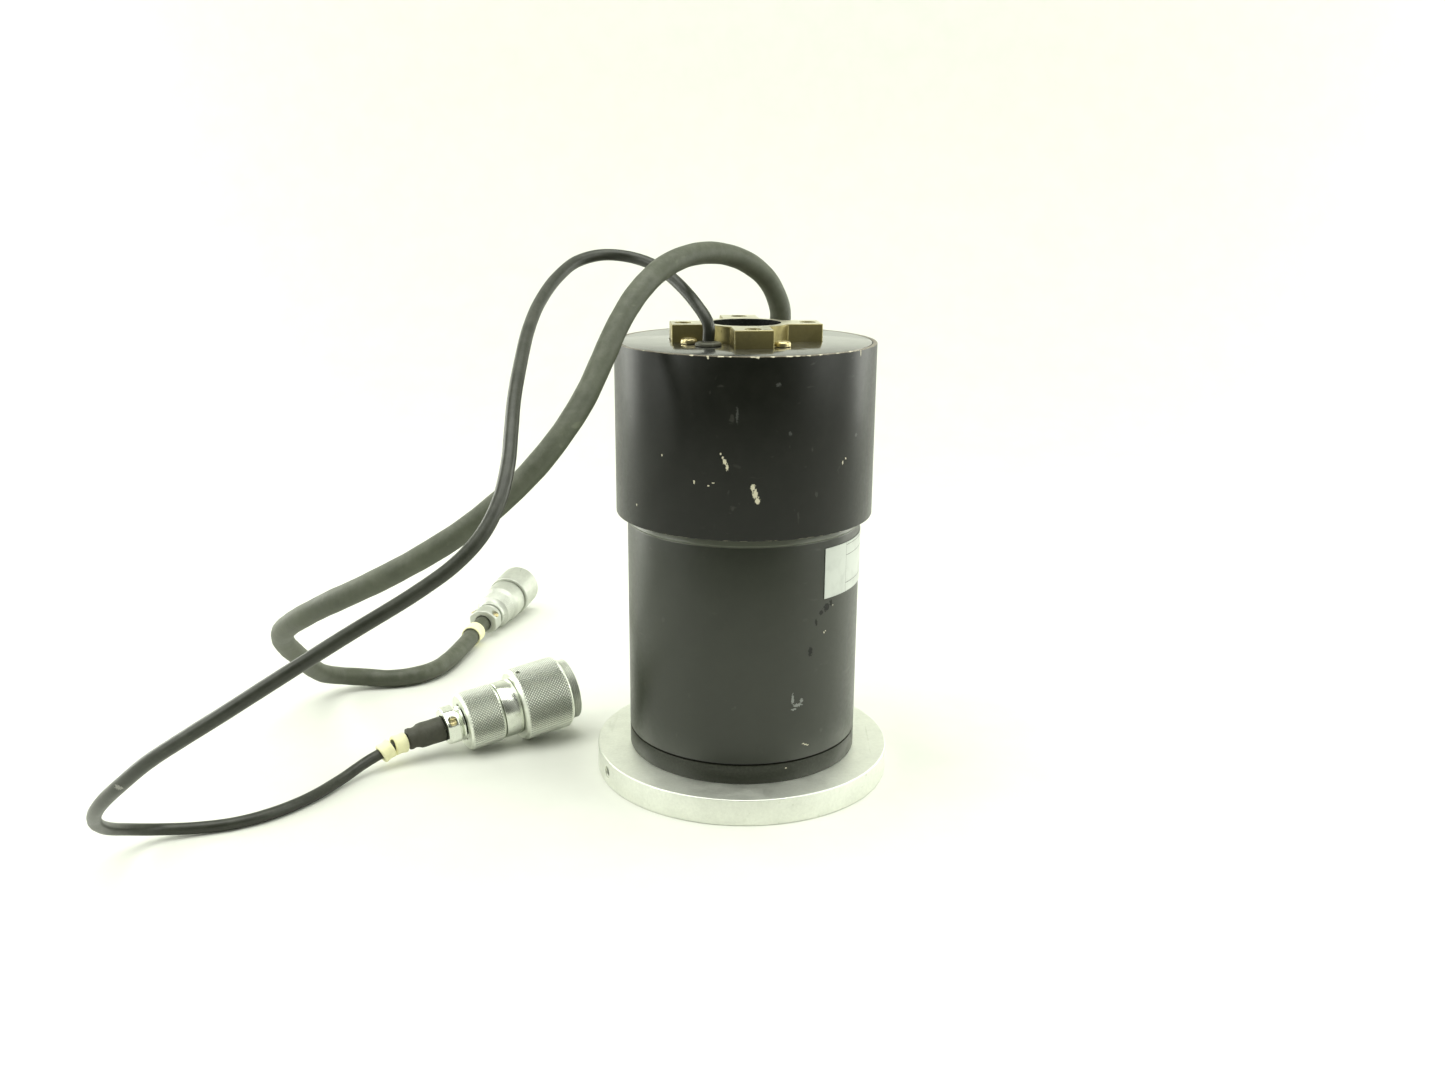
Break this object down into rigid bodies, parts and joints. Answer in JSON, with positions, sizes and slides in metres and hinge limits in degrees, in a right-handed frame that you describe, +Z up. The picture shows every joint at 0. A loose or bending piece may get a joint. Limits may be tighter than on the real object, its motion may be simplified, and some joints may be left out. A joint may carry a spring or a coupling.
{
  "type": "rotary encoder",
  "caption": "Hollow-shaft rotary encoder with a stepped round black body, a turned hub plate, a brass cross coupling and two cables ending in round metal connectors.",
  "frame": {"origin": "centre of the hub plate's lower face, on the surface that the encoder stands on", "axes": "+Z up along the shaft from the hub plate to the brass coupling, -Y towards the front, the cables lie towards -X"},
  "size_m": [0.356, 0.4613, 0.2682],
  "materials": {
    "black_paint": "satin",
    "black_anodised": "satin black anodised",
    "aged_brass": "aged, worn edges",
    "turned_aluminium": "turned",
    "zinc_screw": "yellow zinc plate",
    "bright_nickel": "polished nickel",
    "satin_nickel": "satin nickel",
    "bearing_steel": "ground",
    "black_rubber": "matte",
    "cable_jacket": "matte jacket",
    "marker_sleeve": "matte",
    "label_film": "satin film",
    "clear_glass": "clear",
    "circuit_board": "solder mask",
    "moulded_insert": "moulded"
  },
  "bodies": {
    "housing": {"lower_housing": "black_paint", "upper_housing": "black_paint", "rear_cover": "black_anodised", "rear_spider": "aged_brass", "cover_screw_1": "zinc_screw", "cover_screw_2": "zinc_screw", "cover_screw_3": "zinc_screw", "cover_screw_4": "zinc_screw", "thick_cable_grommet": "black_rubber", "thin_cable_grommet": "black_rubber", "rating_label": "label_film", "shaft_seal": "black_rubber", "bearing_retainer": "bearing_steel", "read_head_bracket": "turned_aluminium", "light_source": "moulded_insert", "detector_board": "circuit_board", "encoder_board": "circuit_board", "board_standoff_1": "zinc_screw", "board_standoff_2": "zinc_screw", "board_standoff_3": "zinc_screw", "front_bearing_outer_race": "bearing_steel", "rear_bearing_outer_race": "bearing_steel", "thick_cable": "cable_jacket", "thin_cable": "cable_jacket", "thin_cable_marker_1": "marker_sleeve", "thin_cable_marker_2": "marker_sleeve", "thick_cable_marker": "marker_sleeve", "big_connector_boot": "black_rubber", "big_connector_clamp": "bright_nickel", "big_clamp_screw_1": "zinc_screw", "big_clamp_screw_2": "zinc_screw", "big_connector_back_nut": "satin_nickel", "big_connector_shell": "bright_nickel", "big_connector_insert": "moulded_insert", "small_connector_clamp": "satin_nickel", "small_clamp_screw_1": "zinc_screw", "small_clamp_screw_2": "zinc_screw", "small_connector_shell": "satin_nickel", "small_connector_insert": "moulded_insert"},
    "rotor": {"hub_plate": "turned_aluminium", "rotor_collar": "black_paint", "hollow_shaft": "bearing_steel", "rim_set_screw": "bearing_steel", "hub_screw_1": "bearing_steel", "hub_screw_2": "bearing_steel", "hub_screw_3": "bearing_steel", "hub_screw_4": "bearing_steel", "inner_spacer": "bearing_steel", "disc_hub": "turned_aluminium", "code_disc": "clear_glass", "disc_clamp_ring": "turned_aluminium", "shaft_nut": "bearing_steel", "front_bearing_inner_race": "bearing_steel", "rear_bearing_inner_race": "bearing_steel"},
    "front_cage": {"front_bearing_ball_cage": "bearing_steel"},
    "rear_cage": {"rear_bearing_ball_cage": "bearing_steel"},
    "big_ring": {"big_coupling_ring": "satin_nickel"},
    "small_ring": {"small_coupling_ring": "satin_nickel"}
  },
  "joints": [
    {"name": "rotor_spin", "type": "hinge", "parent": "housing", "child": "rotor", "pos_m": [0, 0, 0], "axis": [0, 0, 1], "continuous": true},
    {"name": "front_cage_spin", "type": "hinge", "parent": "housing", "child": "front_cage", "pos_m": [0, 0, 0.045], "axis": [0, 0, 1], "continuous": true},
    {"name": "rear_cage_spin", "type": "hinge", "parent": "housing", "child": "rear_cage", "pos_m": [0, 0, 0.113], "axis": [0, 0, 1], "continuous": true},
    {"name": "big_ring_spin", "type": "hinge", "parent": "housing", "child": "big_ring", "pos_m": [-0.11231, 0.02883, 0.02156], "axis": [0.8543, 0.5052, 0.1219], "continuous": true},
    {"name": "small_ring_spin", "type": "hinge", "parent": "housing", "child": "small_ring", "pos_m": [-0.16234, 0.23926, 0.0159], "axis": [0.2234, 0.9677, 0.1167], "continuous": true}
  ],
  "couplings": [
    {"joint": "front_cage_spin", "follows": "rotor_spin", "ratio": 0.4459},
    {"joint": "rear_cage_spin", "follows": "rotor_spin", "ratio": 0.4459}
  ]
}
